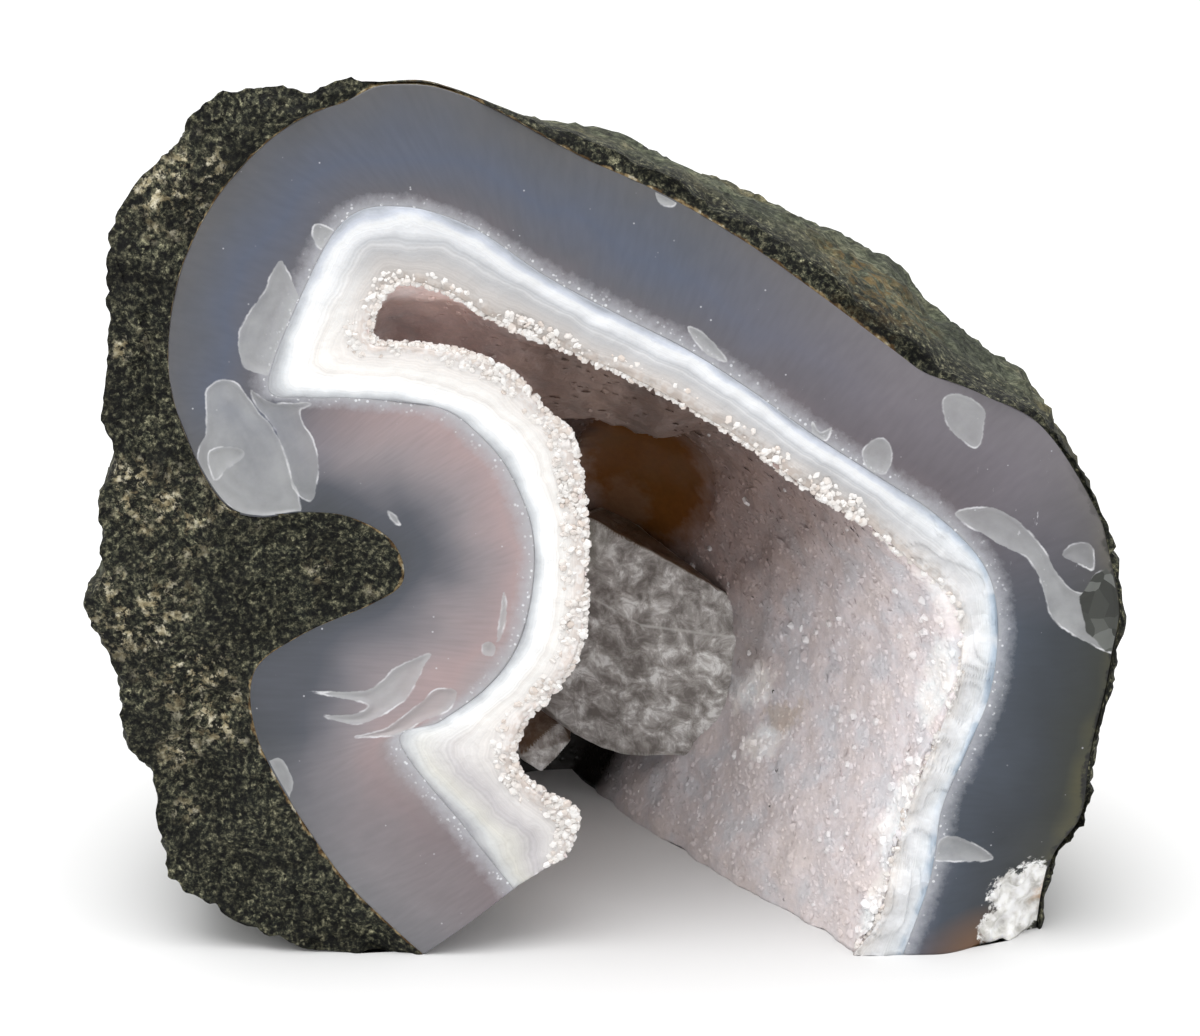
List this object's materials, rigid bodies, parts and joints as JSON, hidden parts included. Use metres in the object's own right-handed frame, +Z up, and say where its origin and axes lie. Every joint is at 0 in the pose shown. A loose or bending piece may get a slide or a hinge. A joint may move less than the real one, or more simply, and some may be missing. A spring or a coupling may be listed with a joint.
{
  "type": "agate geode half",
  "caption": "Half of an agate geode broken open, standing on its broken foot: basalt rind, banded agate, and a hollow lined with quartz crystals.",
  "frame": {"origin": "centre of the whole stone's box, on the surface it stands on", "axes": "+Z up, +X to the right along the broken face, +Y from the broken face to the rounded back"},
  "size_m": [0.1005, 0.0607, 0.0891],
  "materials": {
    "basalt": "rough",
    "agate": "waxy",
    "quartz": "sparkling",
    "calcite": "satin"
  },
  "bodies": {
    "root": {"basalt_matrix": "basalt", "agate_rind": "agate", "quartz_crust": "quartz", "calcite_crystal": "calcite"}
  },
  "joints": []
}
